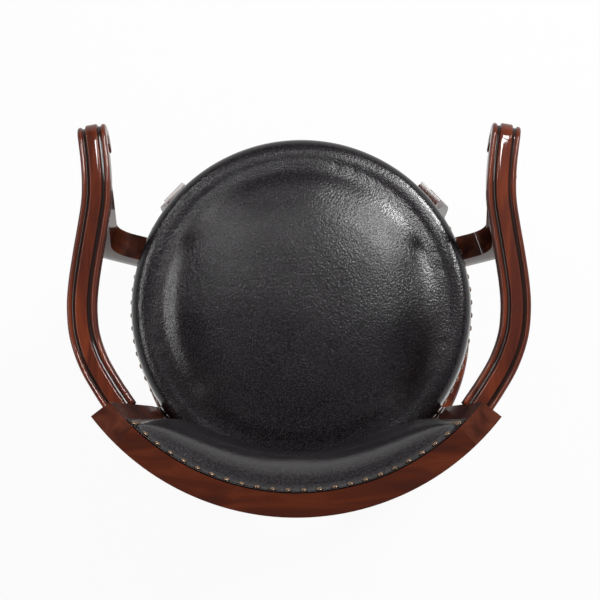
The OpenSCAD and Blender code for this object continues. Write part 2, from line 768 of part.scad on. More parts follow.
back_dowel_r = 4;
back_dowel_len = 14;
module back_dowel_places() {
    for (s = [-1, 1]) mirror([s < 0 ? 1 : 0, 0, 0])
        for (z = [crest_z + 16, back_top - 16, low_rail_z + 12, low_rail_z + low_rail_h - 12])
            translate([0, -back_shift, z]) rotate([0, 0, 90 - post_in])
                translate([back_in + back_t / 2, 0, 0]) rotate([90, 0, 0]) children();
}

module back_dowels() {
    color(plain_wood) back_dowel_places()
        cylinder(r = back_dowel_r, h = 2 * back_dowel_len, center = true, $fn = 32);
}

module back_rail(z0, z1) {
    difference() {
        wall(back_in, back_out, -post_in, post_in, z0, z1);
        back_dowel_places() cylinder(r = back_dowel_r + hole_gap, h = 2 * back_dowel_len + 2,
            center = true, $fn = 32);
    }
}

module crest_rail() {
    color(mahogany) back_rail(crest_z, back_top);
}

module lower_back_rail() {
    color(mahogany) back_rail(low_rail_z, low_rail_z + low_rail_h);
}

module back_panel() {
    color(plain_wood) wall(back_in, back_in + panel_t, -post_in, post_in, panel_z, crest_z);
}

module outside_back() {
    color(leather) wall(back_out - outer_t - 1, back_out - 1, -post_in, post_in, panel_z, crest_z);
}

pad_low = low_rail_z + 12;
pad_high = back_top - 8;
pad_edge = 2;
pad_cols = 28;
pad_rows = 12;
pad_back_r = back_in - soft_gap;
nail_inset = 5.5;
function swell(u, power) = sqrt(max(0, 1 - pow(abs(u), power)));
// The pad is thin along its rim, where the nails hold it, and swells inside that band
pad_band = nail_inset + nail_r + 0.5;
// A grid place, -1 to 1: the rim, the inside of the band, then places that crowd outwards
function spread(k, n, inner) = k == 0 ? -1 : k == n ? 1
    : inner * sin(90 * (2 * (k - 1) / (n - 2) - 1));
function pad_point(i, j, front) = let (
        half_h = (pad_high - pad_low) / 2,
        in_u = 1 - pad_band / (back_in * pad_half * PI / 180), in_v = 1 - pad_band / half_h,
        u = spread(i, pad_cols, in_u), v = spread(j, pad_rows, in_v),
        z = (pad_low + pad_high) / 2 + v * half_h,
        t = pad_edge + (pad_t - pad_edge) * swell(u / in_u, 4) * swell(v / in_v, 4),
        r = front ? pad_back_r - t : pad_back_r)
    [r * sin(pad_half * u), r * cos(pad_half * u) - back_shift, z];

module back_pad() {
    cols = pad_cols + 1;
    count = cols * (pad_rows + 1);
    points = concat(
        [for (j = [0 : pad_rows]) for (i = [0 : pad_cols]) pad_point(i, j, true)],
        [for (j = [0 : pad_rows]) for (i = [0 : pad_cols]) pad_point(i, j, false)]);
    face = [for (j = [0 : pad_rows - 1]) for (i = [0 : pad_cols - 1]) let (a = j * cols + i)
        for (f = [[a, a + cols, a + cols + 1], [a, a + cols + 1, a + 1]]) f];
    rim = concat([for (i = [0 : pad_cols - 1]) i],
        [for (j = [0 : pad_rows - 1]) j * cols + pad_cols],
        [for (i = [pad_cols : -1 : 1]) pad_rows * cols + i],
        [for (j = [pad_rows : -1 : 1]) j * cols]);
    edge = [for (k = [0 : len(rim) - 1]) let (a = rim[k], b = rim[(k + 1) % len(rim)])
        for (f = [[a, b, b + count], [a, b + count, a + count]]) f];
    color(leather) polyhedron(points, concat(face,
        [for (f = face) [f[2] + count, f[1] + count, f[0] + count]], edge));
}

// Nails stand on the thin edge of the pad, heads towards the sitter
module back_nail(a, z) {
    translate([0, -back_shift, z]) rotate([0, 0, 90 - a])
        translate([pad_back_r - pad_edge - soft_gap, 0, 0]) mirror([1, 0, 0]) nail_head();
}

module back_nails() {
    side_a = pad_half - nail_inset / back_in * 180 / PI;
    low = pad_low + nail_inset;
    high = pad_high - nail_inset;
    color(bronze) {
        for (i = [0 : back_nail_n - 1]) for (z = [low, high])
            back_nail(side_a * (2 * i / (back_nail_n - 1) - 1), z);
        for (i = [1 : side_nail_n]) for (s = [-1, 1])
            back_nail(s * side_a, low + (high - low) * i / (side_nail_n + 1));
    }
}

leg(0);  // leg_front_left
leg(1);  // leg_rear_left
leg(2);  // leg_rear_right
leg(3);  // leg_front_right
apron(0);  // apron_front
apron(1);  // apron_left
apron(2);  // apron_rear
apron(3);  // apron_right
corner_block(0);  // corner_block_front_left
corner_block(1);  // corner_block_rear_left
corner_block(2);  // corner_block_rear_right
corner_block(3);  // corner_block_front_right
base_board();
leg_bolts();
leg_washers();
leg_nuts();
glides();
footrest();
footrest_screws();
swivel_lower_plate();
lower_plate_screws();
pivot_pin();
pivot_washer();
pivot_nut();
ball_cage();
swivel_balls();
swivel_upper_plate();
upper_plate_screws();
seat_frame();
cross_rail(1);  // cross_rail_left
cross_rail(-1);  // cross_rail_right
seat_board();
seat_board_screws();
seat_foam();
seat_leather();
seat_nails();
arm_support(1);  // arm_support_left
arm_support(-1);  // arm_support_right
support_bolts();
arm(1);  // arm_left
arm(-1);  // arm_right
arm_screws();
arm_dowels();
post(1);  // post_left
post(-1);  // post_right
post_bolts();
crest_rail();
lower_back_rail();
back_dowels();
back_panel();
outside_back();
back_pad();
back_nails();
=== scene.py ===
import math

import bpy
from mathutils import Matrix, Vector, noise


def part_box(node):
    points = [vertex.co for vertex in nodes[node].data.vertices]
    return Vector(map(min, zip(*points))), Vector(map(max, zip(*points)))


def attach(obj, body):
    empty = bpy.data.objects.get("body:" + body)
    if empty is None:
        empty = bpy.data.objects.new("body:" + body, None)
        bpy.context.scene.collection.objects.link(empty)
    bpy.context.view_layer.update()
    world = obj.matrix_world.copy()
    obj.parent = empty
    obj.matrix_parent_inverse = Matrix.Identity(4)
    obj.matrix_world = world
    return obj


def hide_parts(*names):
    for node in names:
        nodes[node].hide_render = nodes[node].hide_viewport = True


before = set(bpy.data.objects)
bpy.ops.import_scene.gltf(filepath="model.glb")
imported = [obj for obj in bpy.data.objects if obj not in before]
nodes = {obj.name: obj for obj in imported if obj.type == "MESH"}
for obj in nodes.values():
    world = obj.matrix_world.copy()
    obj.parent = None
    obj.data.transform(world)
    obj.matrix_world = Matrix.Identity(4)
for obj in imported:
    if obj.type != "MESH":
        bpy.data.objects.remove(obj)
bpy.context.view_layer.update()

# The studio. The stool is photographed from above, with its front towards the top of the picture,
# on a plain white floor, under a soft box in front on its right and a long one on its left. Three
# small lamps put the glints on the lacquer of the leg tops and of the right arm.
camera = bpy.data.objects.new("camera", bpy.data.cameras.new("camera"))
camera.location = (-0.022, 0.1509, 2.43)
camera.rotation_euler = [math.radians(a) for a in (5.393, 0.779, 180.04)]
camera.data.lens = 77.8
bpy.context.scene.collection.objects.link(camera)
bpy.context.scene.camera = camera
bpy.context.scene.view_settings.view_transform = "Standard"

lamp_z = 3.0


def soft_box(name, middle, turn, long_side, wide_side, power):
    """A lamp hung level above the floor: its middle, its turn in degrees, its two sides, its watts."""
    lamp = bpy.data.lights.new(name, "AREA")
    lamp.shape = "RECTANGLE"
    lamp.size, lamp.size_y, lamp.energy = long_side, wide_side, power
    light = bpy.data.objects.new(name, lamp)
    light.location = (*middle, lamp_z)
    light.rotation_euler = (0, 0, math.radians(turn))
    bpy.context.scene.collection.objects.link(light)


soft_box("front_right_light", (-1.3, -1.12), 37, 0.32, 0.7, 64)
soft_box("front_left_light", (1.35, -0.6), 75, 1.8, 0.2, 19)
soft_box("small_right_light", (-0.441, -0.653), 45, 0.15, 0.16, 4.7)
soft_box("arm_spot_light", (-0.55, -0.87), 0, 0.18, 0.26, 5)
soft_box("small_left_light", (0.475, -0.635), -45, 0.1, 0.16, 2.5)


def ray_share(tree):
    """1 where a camera, mirror or glass ray looks, and 0 where light only falls."""
    rays = tree.nodes.new("ShaderNodeLightPath")
    share = rays.outputs["Is Camera Ray"]
    for kind in ("Is Glossy Ray", "Is Transmission Ray"):
        either = tree.nodes.new("ShaderNodeMath")
        either.operation = "MAXIMUM"
        tree.links.new(share, either.inputs[0])
        tree.links.new(rays.outputs[kind], either.inputs[1])
        share = either.outputs[0]
    return share


fill_light = 0.32
white_sky, white_below = (1, 1, 1, 1), 0.12
dark_sky, dark_above = (0.07, 0.07, 0.078, 1), 0.62
world = bpy.data.worlds.new("studio")
bpy.context.scene.world = world
world.use_nodes = True
tree = world.node_tree
ambient = tree.nodes["Background"]
ambient.inputs["Color"].default_value = (1, 1, 1, 1)
ambient.inputs["Strength"].default_value = fill_light
seen = tree.nodes.new("ShaderNodeBackground")
direction = tree.nodes.new("ShaderNodeTexCoord")
upwards = tree.nodes.new("ShaderNodeSeparateXYZ")
sky = tree.nodes.new("ShaderNodeValToRGB")
sky.color_ramp.elements[0].position = white_below
sky.color_ramp.elements[0].color = white_sky
sky.color_ramp.elements[1].position = dark_above
sky.color_ramp.elements[1].color = dark_sky
tree.links.new(direction.outputs["Generated"], upwards.inputs[0])
tree.links.new(upwards.outputs["Z"], sky.inputs["Fac"])
tree.links.new(sky.outputs["Color"], seen.inputs["Color"])
either_world = tree.nodes.new("ShaderNodeMixShader")
tree.links.new(ray_share(tree), either_world.inputs["Fac"])
tree.links.new(ambient.outputs[0], either_world.inputs[1])
tree.links.new(seen.outputs[0], either_world.inputs[2])
tree.links.new(either_world.outputs[0], tree.nodes["World Output"].inputs["Surface"])

floor_half = 9.0
floor_corners = [(-1, -1), (1, -1), (1, 1), (-1, 1)]
floor_colour = (0.82, 0.82, 0.82, 1)
white_to_the_eye = 0.93
floor_mesh = bpy.data.meshes.new("floor")
floor_mesh.from_pydata([(x * floor_half, y * floor_half, 0) for x, y in floor_corners], [],
                       [(0, 1, 2, 3)])
floor = bpy.data.objects.new("floor", floor_mesh)
bpy.context.scene.collection.objects.link(floor)
white_floor = bpy.data.materials.new("white_floor")
white_floor.use_nodes = True
tree = white_floor.node_tree
matt = tree.nodes["Principled BSDF"]
matt.inputs["Base Color"].default_value = floor_colour
matt.inputs["Roughness"].default_value = 0.9
matt.inputs["Specular IOR Level"].default_value = 0.0
glow = tree.nodes.new("ShaderNodeEmission")
glow.inputs["Color"].default_value = (1, 1, 1, 1)
background_share = tree.nodes.new("ShaderNodeMath")
background_share.operation = "MULTIPLY"
background_share.inputs[1].default_value = white_to_the_eye
tree.links.new(ray_share(tree), background_share.inputs[0])
lit_or_white = tree.nodes.new("ShaderNodeMixShader")
tree.links.new(background_share.outputs[0], lit_or_white.inputs["Fac"])
tree.links.new(matt.outputs[0], lit_or_white.inputs[1])
tree.links.new(glow.outputs[0], lit_or_white.inputs[2])
tree.links.new(lit_or_white.outputs[0], tree.nodes["Material Output"].inputs["Surface"])
floor_mesh.materials.append(white_floor)

# The base. Four bowed legs of solid mahogany are bolted to the cut corners of a square of aprons,
# which are glued round a plain board. Stained reddish brown and sprayed with a glossy lacquer.


def new_finish(name):
    """A material, its node tree and its surface shader."""
    finish = bpy.data.materials.new(name)
    finish.use_nodes = True
    return finish, finish.node_tree, finish.node_tree.nodes["Principled BSDF"]


def mottle(tree, scale, detail=5.0, stretch=(1, 1, 1), distortion=0.0):
    """Uneven patches on the piece's own coordinates, about 1/scale metres across."""
    place = tree.nodes.new("ShaderNodeTexCoord")
    fit = tree.nodes.new("ShaderNodeMapping")
    fit.inputs["Scale"].default_value = stretch
    pattern = tree.nodes.new("ShaderNodeTexNoise")
    pattern.inputs["Scale"].default_value = scale
    pattern.inputs["Detail"].default_value = detail
    pattern.inputs["Distortion"].default_value = distortion
    tree.links.new(place.outputs["Object"], fit.inputs["Vector"])
    tree.links.new(fit.outputs["Vector"], pattern.inputs["Vector"])
    return pattern.outputs["Fac"]


def colours_by(tree, pattern, stops):
    """Colours set out along a pattern: (value of the pattern, colour)."""
    ramp = tree.nodes.new("ShaderNodeValToRGB")
    for i, (position, colour) in enumerate(stops):
        stop = ramp.color_ramp.elements[i] if i < 2 else ramp.color_ramp.elements.new(position)
        stop.position = position
        stop.color = (*colour, 1)
    tree.links.new(pattern, ramp.inputs["Fac"])
    return ramp.outputs["Color"]


def raised_by(tree, surface, pattern, depth, strength, under=None):
    """Relief that a pattern gives to a surface, on top of the relief under it."""
    relief = tree.nodes.new("ShaderNodeBump")
    relief.inputs["Distance"].default_value = depth
    relief.inputs["Strength"].default_value = strength
    tree.links.new(pattern, relief.inputs["Height"])
    if under:
        tree.links.new(under, relief.inputs["Normal"])
    tree.links.new(relief.outputs["Normal"], surface.inputs["Normal"])
    return relief.outputs["Normal"]


def lacquered_wood(name, dark, middle, light, grain, gloss=1.0):
    """Stained wood under clear lacquer. The grain is the stretch of its figure: small along the wood."""
    smoothest, dullest = 0.38, 0.55
    finish, tree, surface = new_finish(name)
    figure = mottle(tree, 1.0, detail=7.0, stretch=grain, distortion=0.8)
    tree.links.new(colours_by(tree, figure, [(0.32, dark), (0.68, light), (0.49, middle)]),
                   surface.inputs["Base Color"])
    pores = mottle(tree, 6.0, detail=3.0, stretch=grain)
    raised_by(tree, surface, pores, depth=0.0002, strength=0.12)
    worn = tree.nodes.new("ShaderNodeMapRange")
    worn.inputs["To Min"].default_value = smoothest
    worn.inputs["To Max"].default_value = dullest
    tree.links.new(mottle(tree, 14.0, detail=2.0), worn.inputs["Value"])
    tree.links.new(worn.outputs["Result"], surface.inputs["Roughness"])
    surface.inputs["Specular IOR Level"].default_value = 0.06
    surface.inputs["Coat Weight"].default_value = gloss
    surface.inputs["Coat Roughness"].default_value = 0.03
    return finish


def dress(names, finish, rounding=0.0):
    """Gives CAD pieces their finish, and rounds their edges by a width in metres, as sanding does."""
    one_point = 0.00001
    sharp_edge = math.radians(32)
    for name in names:
        piece = nodes[name]
        piece.data.materials.clear()
        piece.data.materials.append(finish)
        for face in piece.data.polygons:
            face.use_smooth = True
        weld = piece.modifiers.new("one_skin", "WELD")
        weld.merge_threshold = one_point
        if rounding:
            edges = piece.modifiers.new("sanded_edges", "BEVEL")
            edges.width, edges.segments = rounding, 2
            edges.limit_method, edges.angle_limit = "ANGLE", sharp_edge
        flats = piece.modifiers.new("true_flats", "WEIGHTED_NORMAL")
        flats.mode, flats.weight = "FACE_AREA", 100


corners = ("front_left", "rear_left", "rear_right", "front_right")
sides = ("front", "left", "rear", "right")
deep_red, warm_red = (0.04, 0.008, 0.004), (0.08, 0.015, 0.006)
upright_mahogany = lacquered_wood("mahogany_legs", (0.02, 0.006, 0.004), (0.045, 0.011, 0.006),
                                  (0.075, 0.017, 0.008), grain=(60, 60, 7), gloss=0.28)
level_mahogany = lacquered_wood("mahogany_rails", deep_red, (0.062, 0.011, 0.0035),
                                (0.095, 0.019, 0.006), grain=(9, 60, 60), gloss=0.7)
dress(["leg_" + c for c in corners], upright_mahogany, rounding=0.002)
dress(["apron_" + s for s in sides], level_mahogany, rounding=0.0012)

# The plain wood of the base: corner blocks of sawn birch, left bare, and a birch board on the aprons
# that is wiped with dark stain, because its edge shows under the seat. Both are dull.


def bare_wood(name, pale, brown, grain):
    """Sawn wood without lacquer: dull, with an open grain."""
    finish, tree, surface = new_finish(name)
    figure = mottle(tree, 1.0, detail=6.0, stretch=grain, distortion=1.2)
    tree.links.new(colours_by(tree, figure, [(0.35, brown), (0.65, pale)]), surface.inputs["Base Color"])
    surface.inputs["Roughness"].default_value = 0.62
    pores = mottle(tree, 5.0, detail=3.0, stretch=grain)
    raised_by(tree, surface, pores, depth=0.0003, strength=0.3)
    return finish


birch_grain = (8, 50, 50)
birch = bare_wood("bare_birch", (0.56, 0.39, 0.22), (0.42, 0.26, 0.13), birch_grain)
stained_birch = bare_wood("stained_birch", (0.06, 0.022, 0.012), (0.032, 0.012, 0.007), birch_grain)
dress(["corner_block_" + c for c in corners], birch, rounding=0.001)
dress(["base_board"], stained_birch, rounding=0.001)

# The metal: zinc-plated bolts, washers, nuts and screws hold the wood of the base, seat, arms and
# back. The swivel on the base is two pressed steel plates with balls in a bronze cage between them,
# and it turns on a pin that a washer and a nut hold down.


def bare_metal(name, colour, roughness, scratch):
    """Metal with dulled patches and fine scratches: the larger scratch is, the finer they are."""
    tarnish = 0.72
    finish, tree, surface = new_finish(name)
    surface.inputs["Metallic"].default_value = 1.0
    surface.inputs["Roughness"].default_value = roughness
    dulled = [c * tarnish for c in colour]
    patches = mottle(tree, 60.0, detail=4.0)
    tree.links.new(colours_by(tree, patches, [(0.35, dulled), (0.6, colour)]), surface.inputs["Base Color"])
    scratches = mottle(tree, scratch, detail=2.0, stretch=(1, 6, 1))
    raised_by(tree, surface, scratches, depth=0.0001, strength=0.1)
    return finish


zinc = bare_metal("zinc_plate", (0.48, 0.48, 0.5), roughness=0.32, scratch=300.0)
bronze = bare_metal("antique_bronze", (0.36, 0.25, 0.17), roughness=0.3, scratch=500.0)
dress(["leg_bolts", "leg_washers", "leg_nuts", "footrest_screws", "swivel_lower_plate",
       "lower_plate_screws", "pivot_pin", "pivot_washer", "pivot_nut", "swivel_balls",
       "swivel_upper_plate", "upper_plate_screws", "seat_board_screws", "support_bolts",
       "arm_screws", "post_bolts"], zinc, rounding=0.0003)
dress(["ball_cage"], bronze, rounding=0.0002)

# Glides: four small round feet that keep the legs off the floor. They are moulded in black nylon,
# and each has a pin that is driven into the end of its leg.
nylon, tree, surface = new_finish("black_nylon")
surface.inputs["Roughness"].default_value = 0.5
nylon_shades = [(0.3, (0.008, 0.008, 0.008)), (0.7, (0.02, 0.02, 0.02))]
tree.links.new(colours_by(tree, mottle(tree, 200.0), nylon_shades), surface.inputs["Base Color"])
dress(["glides"], nylon, rounding=0.001)

# Footrest: one ring of steam-bent mahogany, stained and lacquered as the legs are. It is let into
# notches on the inside of the legs, and one screw holds it to each leg.
ring_mahogany = lacquered_wood("mahogany_ring", deep_red, warm_red, (0.19, 0.036, 0.01),
                               grain=(22, 22, 60))
dress(["footrest"], ring_mahogany, rounding=0.0006)

# The round frame of the seat: turned from dark-stained hardwood, screwed to a bare board and
# stiffened by two cross rails that the swivel is screwed to.
dark_stain = lacquered_wood("dark_stained_wood", (0.018, 0.006, 0.005), (0.045, 0.013, 0.009),
                            (0.075, 0.022, 0.014), grain=(60, 60, 9))
dress(["seat_frame"], dark_stain, rounding=0.001)
dress(["cross_rail_left", "cross_rail_right", "seat_board"], birch, rounding=0.001)

# The seat: black leather drawn over a foam dome and nailed round the frame. The foam is cut with a
# shoulder, so that the leather has a shallow trough inside a rounded border.


def grained_leather(name, dark, worn, dullness):
    """Leather with pebbles, fine grains and soft creases, dressed to a semi-gloss."""
    pebble_scale, grain_scale, crease_scale = 330.0, 480.0, 55.0
    finish, tree, surface = new_finish(name)
    grains = mottle(tree, grain_scale, detail=2.0)
    tree.links.new(colours_by(tree, grains, [(0.36, dark), (0.66, worn)]), surface.inputs["Base Color"])
    pebbles = tree.nodes.new("ShaderNodeTexVoronoi")
    pebbles.inputs["Scale"].default_value = pebble_scale
    place = tree.nodes.new("ShaderNodeTexCoord")
    tree.links.new(place.outputs["Object"], pebbles.inputs["Vector"])
    coarse = raised_by(tree, surface, pebbles.outputs["Distance"], depth=0.0004, strength=0.35)
    fine = raised_by(tree, surface, grains, depth=0.0004, strength=0.48, under=coarse)
    creases = mottle(tree, crease_scale, detail=2.0)
    raised_by(tree, surface, creases, depth=0.0006, strength=0.03, under=fine)
    sheen = tree.nodes.new("ShaderNodeMapRange")
    sheen.inputs["To Min"].default_value = dullness - 0.03
    sheen.inputs["To Max"].default_value = dullness + 0.04
    tree.links.new(mottle(tree, 30.0, detail=4.0), sheen.inputs["Value"])
    tree.links.new(sheen.outputs["Result"], surface.inputs["Roughness"])
    return finish


def along(line, share):
    """The point at a share of a line's length."""
    spans = [math.dist(a, b) for a, b in zip(line, line[1:])]
    left = share * sum(spans)
    for a, b, span in zip(line, line[1:], spans):
        if left <= span and span:
            return tuple(x + (y - x) * left / span for x, y in zip(a, b))
        left -= span
    return line[-1]


def disc(count, line):
    """A square grid drawn out to a disc, whose radius runs along a line of (radius, height)."""
    points = []
    for j in range(count + 1):
        for i in range(count + 1):
            a, b = 2 * i / count - 1, 2 * j / count - 1
            x, y = a * math.sqrt(1 - b * b / 2), b * math.sqrt(1 - a * a / 2)
            turn = math.atan2(y, x)
            r, z = along(line, min(1.0, math.hypot(x, y)))
            points.append((r * math.cos(turn), r * math.sin(turn), z))
    return points


def grid_faces(columns, rows, first=0, turned=False):
    """Square faces between the points of a grid."""
    wide = columns + 1
    faces = [(first + j * wide + i, first + j * wide + i + 1, first + (j + 1) * wide + i + 1,
              first + (j + 1) * wide + i) for j in range(rows) for i in range(columns)]
    return [f[::-1] for f in faces] if turned else faces


def rim(columns, rows):
    """The points round the edge of a grid, in order."""
    wide = columns + 1
    return ([i for i in range(columns)] + [j * wide + columns for j in range(rows)]
            + [rows * wide + i for i in range(columns, 0, -1)] + [j * wide for j in range(rows, 0, -1)])


def pillow(name, front, back, columns, rows, finish):
    """A closed form from two grids of points that are joined round their rims."""
    count = len(front)
    edge = rim(columns, rows)
    joins = [(b, a, a + count, b + count) for a, b in zip(edge, edge[1:] + edge[:1])]
    mesh = bpy.data.meshes.new(name)
    mesh.from_pydata(front + back, [],
                     grid_faces(columns, rows) + grid_faces(columns, rows, count, turned=True) + joins)
    for face in mesh.polygons:
        face.use_smooth = True
    mesh.materials.append(finish)
    piece = bpy.data.objects.new(name, mesh)
    bpy.context.scene.collection.objects.link(piece)
    return piece


def plump(piece, still, pressure, cap):
    """Lets the filling swell a cushion as cloth, smoothly, and no point further than the cap."""
    last_frame, smoothing_rounds = 20, 14
    rest = [v.co.copy() for v in piece.data.vertices]
    held = piece.vertex_groups.new(name="held")
    held.add([i for i, point in enumerate(rest) if still(i, point)], 1.0, "REPLACE")
    cloth = piece.modifiers.new("cloth", "CLOTH")
    cloth.settings.use_pressure = True
    cloth.settings.uniform_pressure_force = pressure
    cloth.settings.vertex_group_mass = "held"
    cloth.settings.effector_weights.gravity = 0.0
    cloth.settings.quality = 5
    for frame_number in range(1, last_frame + 1):
        bpy.context.scene.frame_set(frame_number)
    swollen = piece.evaluated_get(bpy.context.evaluated_depsgraph_get()).data
    moved = [v.co.copy() for v in swollen.vertices]
    piece.modifiers.remove(cloth)
    bpy.context.scene.frame_set(1)
    steps = [end - start for start, end in zip(rest, moved)]
    beside = [[] for _ in rest]
    for edge in piece.data.edges:
        first, second = edge.vertices
        beside[first].append(second)
        beside[second].append(first)
    for _ in range(smoothing_rounds):
        steps = [(step + sum((steps[k] for k in near), Vector()) / len(near)) / 2
                 for step, near in zip(steps, beside)]
    for i, (vertex, start, step) in enumerate(zip(piece.data.vertices, rest, steps)):
        if not still(i, start):
            vertex.co = start + step * min(1.0, cap / max(step.length, 1e-9))
    piece.vertex_groups.remove(held)


seat_low, seat_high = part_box("seat_leather")
nail_low, nail_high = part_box("seat_nails")
seat_r, crown_z, hem_z = seat_high.x, seat_high.z, seat_low.z
board_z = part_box("seat_board")[1].z
frame_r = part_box("seat_frame")[1].x
crown_h = crown_z - board_z
nail_count = 82
nail_height = 0.0024
nail_air = 0.0001
leather_t = 0.0013
skirt_r = nail_high.x - nail_height - nail_air
skirt_in_r = skirt_r - leather_t
loose = 0.0025


def falling(slopes, steps):
    """A line of (radius, height) whose fall in degrees is given at shares of the seat's radius."""
    line = [(0.0, crown_z - loose)]
    for (from_r, from_fall), (to_r, to_fall) in zip(slopes, slopes[1:]):
        for k in range(steps):
            fall = math.radians(from_fall + (to_fall - from_fall) * (k + 0.5) / steps)
            run = seat_r * (to_r - from_r) / steps
            line.append((line[-1][0] + run, line[-1][1] - run * math.tan(fall)))
    return line


# The dome and its shoulder, the trough and the border: (share of the radius, fall there in degrees).
# The side that flares to the nails: (share of the radius, share of the height down from the crown)
dome = [(0, 0), (0.4, 1.5), (0.66, 4), (0.71, 8), (0.735, 13), (0.765, 13)]
trough = [(0.79, 3), (0.825, -6), (0.86, -8)]
border = [(0.89, -1), (0.915, 6), (0.935, 12.5), (0.95, 28), (0.963, 46), (0.973, 62), (0.979, 76)]
flared_side = [(0.983, 0.52), (0.991, 0.76), (0.9995, 0.96)]
seat_line = falling(dome + trough + border, 5)
seat_line += [(seat_r * r_share, crown_z - crown_h * drop) for r_share, drop in flared_side]
seat_line += [(skirt_r, nail_high.z), (skirt_r, hem_z)]
# The underside lies on the board, and hangs down inside the skirt as far as the hem
inset, turn_down = 0.001, 0.002
under_line = [(0, board_z), (frame_r - inset, board_z), (skirt_in_r, board_z - turn_down),
              (skirt_in_r, hem_z)]
seat_grid = 104
seat_top = disc(seat_grid, seat_line)
leather_dark, leather_worn, leather_dullness = (0.002, 0.0016, 0.002), (0.021, 0.017, 0.02), 0.23
seat_leather = grained_leather("black_leather_seat", leather_dark, leather_worn, leather_dullness)
seat = pillow("seat_cushion", seat_top, disc(seat_grid, under_line), seat_grid, seat_grid,
              seat_leather)
hold_z = nail_high.z + 0.003
hold_r = 0.84 * seat_r


def seat_held(i, point):
    """The underside, the nailed edge and the border are held, and only the dome swells."""
    return i >= len(seat_top) or point.z < hold_z or math.hypot(point.x, point.y) > hold_r


plump(seat, seat_held, pressure=3.0, cap=0.0025)

# Each nail draws the leather in a little, so its side is scalloped; the top is slightly uneven
gather_z = nail_high.z + 0.004
gather_r = 0.9 * seat_r
gather_depth, gather_reach = 0.0009, 0.008
uneven_height, uneven_scale = 0.0006, 14
for vertex in list(seat.data.vertices)[:len(seat_top)]:
    x, y, z = vertex.co
    r = math.hypot(x, y)
    if r > gather_r:
        pull = gather_depth * math.exp(-((z - gather_z) / gather_reach) ** 2)
        pull *= 0.5 + 0.5 * math.cos(nail_count * math.atan2(y, x) + math.pi)
        vertex.co.x -= pull * x / r
        vertex.co.y -= pull * y / r
    vertex.co.z += uneven_height * noise.noise(Vector((x, y, 0)) * uneven_scale) * (z > hold_z)
smooth = seat.modifiers.new("leather_skin", "SUBSURF")
smooth.levels = smooth.render_levels = 1
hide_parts("seat_leather", "seat_foam")
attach(seat, "seat")

# Upholstery nails: pressed bronze domes on short shanks, hammered through the edge of the leather
# into the round frame at even steps.


def nails(name, places, radius, height, node_replaced):
    """Domed heads. A place is the middle of a head's underside and the way that it faces."""
    points, faces = [], []
    turns, bands = 12, 4
    for middle, outwards in places:
        outwards = Vector(outwards).normalized()
        across = outwards.cross(Vector((0, 0, 1))).normalized()
        up = across.cross(outwards)
        first = len(points)
        for band in range(bands):
            lift = math.pi / 2 * band / bands
            for k in range(turns):
                turn = 2 * math.pi * k / turns
                points.append(Vector(middle) + outwards * height * math.sin(lift)
                              + (across * math.cos(turn) + up * math.sin(turn)) * radius * math.cos(lift))
        points.append(Vector(middle) + outwards * height)
        for band in range(bands - 1):
            for k in range(turns):
                a, b = first + band * turns + k, first + band * turns + (k + 1) % turns
                faces.append((a, a + turns, b + turns, b))
        last = first + (bands - 1) * turns
        faces += [(last + k, len(points) - 1, last + (k + 1) % turns) for k in range(turns)]
        faces.append(tuple(first + k for k in range(turns)))
    mesh = bpy.data.meshes.new(name)
    mesh.from_pydata(points, [], faces)
    for face in mesh.polygons:
        face.use_smooth = len(face.vertices) < turns
    mesh.materials.append(nail_bronze)
    piece = bpy.data.objects.new(name, mesh)
    bpy.context.scene.collection.objects.link(piece)
    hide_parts(node_replaced)
    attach(piece, "seat")


nail_bronze = bare_metal("nail_bronze", (0.24, 0.165, 0.115), roughness=0.24, scratch=700.0)
nail_r = (nail_high.z - nail_low.z) / 2
nail_z = (nail_low.z + nail_high.z) / 2
seat_nail_places = []
for i in range(nail_count):
    turn = 2 * math.pi * (i + 0.5) / nail_count
    outwards = (math.cos(turn), math.sin(turn), 0)
    seat_nail_places.append(((skirt_r * outwards[0], skirt_r * outwards[1], nail_z), outwards))
nails("seat_nail_heads", seat_nail_places, radius=nail_r, height=nail_height, node_replaced="seat_nails")

# Arm supports: one on each side, band-sawn from thick mahogany in one sweeping curve. The foot is
# bolted to the side of the seat's frame, and the head is screwed under the front of the arm.
# The supports get a darker copy of the mahogany than the arms and rails: painted shade for the shadow under
# the arms
support_mahogany_painted_shade = lacquered_wood("mahogany_supports_painted_shade", (0.02, 0.006, 0.004), (0.05, 0.012, 0.006),
                                  (0.09, 0.02, 0.008), grain=(60, 60, 9), gloss=0.45)
dress(["arm_support_left", "arm_support_right"], support_mahogany_painted_shade, rounding=0.0022)

# Arms: shaped from solid mahogany, with a crowned band between two cut grooves and two beads. The
# front is carved as a scroll, and the faces of its grooves get a near-black copy of the wood, painted shade
# for the dark inside the grooves.
# One screw from below holds each arm on its support, and one dowel joins it to the back post.
arm_line = [(0.217, 0.112), (0.234, 0.083), (0.245, 0.052), (0.2485, 0.022), (0.2475, -0.006),
            (0.243, -0.041), (0.238, -0.073), (0.2343, -0.101), (0.2338, -0.124), (0.2355, -0.149),
            (0.239, -0.176)]
arm_top = 0.96
arm_h, arm_w, band_w, groove_w, groove_d = 0.028, 0.033, 0.014, 0.0036, 0.0034
scroll_r, scroll_core, scroll_end = 0.02, 0.0015, -140
scroll_turn = math.radians(10)
# The last rings before the scroll already lean forward, more and more, up to this many degrees
bow, bow_rings = 5, 4
# The arm starts on the end of the back's curve, 1.5 mm outside the middle of the post
back_in, back_t, back_shift, back_half = 0.239, 0.024, 0.017, math.radians(52)
start_r = back_in + back_t / 2 + 0.0015
arm_line = [(start_r * math.sin(back_half), start_r * math.cos(back_half) - back_shift)] + arm_line
bead_w = (arm_w - band_w) / 2 - groove_w
bead_middle = band_w / 2 + groove_w + bead_w / 2
bead_drop = 0.0012
groove_in, groove_out = band_w / 2, band_w / 2 + groove_w
